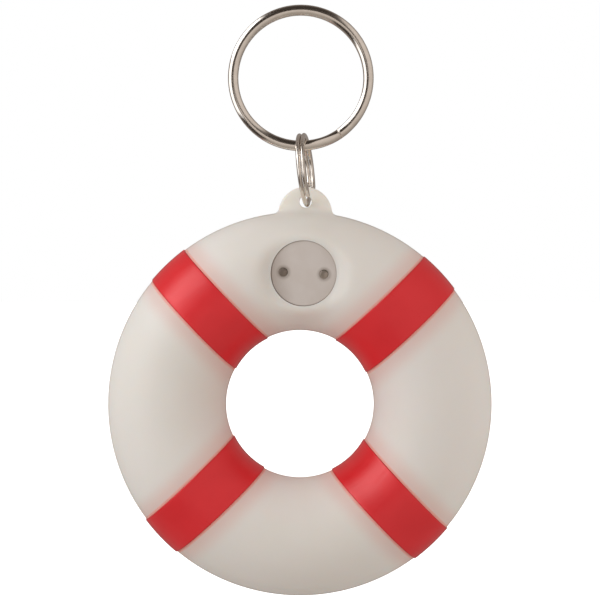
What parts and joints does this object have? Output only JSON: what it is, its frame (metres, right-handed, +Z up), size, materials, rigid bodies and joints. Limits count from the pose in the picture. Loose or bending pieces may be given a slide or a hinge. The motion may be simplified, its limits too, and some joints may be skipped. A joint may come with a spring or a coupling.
{
  "type": "floating key ring",
  "caption": "Key ring with a small hollow life ring buoy as its float: milky plastic with red bands, split rings, and a water-activated light in its rim.",
  "frame": {"origin": "the top of the key ring's opening, where it hangs on a hook or a key's loop", "axes": "+Z up with the object hanging, -Y out of its front, where the sensor cap is, +X to the right seen from the front"},
  "size_m": [0.0661, 0.0208, 0.1016],
  "materials": {
    "nickel": "bright nickel plate",
    "milky_plastic": "translucent satin",
    "red_band": "satin",
    "frosted_plastic": "frosted, translucent",
    "clear_plastic": "smooth moulded",
    "seal_rubber": "matte",
    "board": "solder mask",
    "epoxy": "glossy resin drop",
    "ceramic": "matte",
    "cell_steel": "nickel-plated can",
    "steel": "tinned steel",
    "lens": "diffused lamp resin"
  },
  "bodies": {
    "key_ring": {"key_ring": "nickel"},
    "link_ring": {"link_ring": "nickel"},
    "life_ring": {"ring_body": "milky_plastic", "band_upper_right": "red_band", "band_upper_left": "red_band", "band_lower_left": "red_band", "band_lower_right": "red_band", "sensor_cap": "frosted_plastic", "contact_left": "steel", "contact_right": "steel", "module_case": "clear_plastic", "seal_ring": "seal_rubber", "circuit_board": "board", "controller_chip": "epoxy", "resistor": "ceramic", "battery_spring": "steel", "cell_front": "cell_steel", "cell_rear": "cell_steel", "positive_plate": "steel", "led_lens": "lens", "led_anode_lead": "steel", "led_cathode_lead": "steel"}
  },
  "joints": [
    {"name": "link_ring_swing", "type": "hinge", "parent": "key_ring", "child": "link_ring", "pos_m": [0, 0, -0.02237], "axis": [1, 0, 0], "range_deg": [-110, 110]},
    {"name": "life_ring_swing", "type": "hinge", "parent": "link_ring", "child": "life_ring", "pos_m": [0.00107, 0, -0.03241], "axis": [0, 1, 0], "range_deg": [-60, 50]}
  ]
}
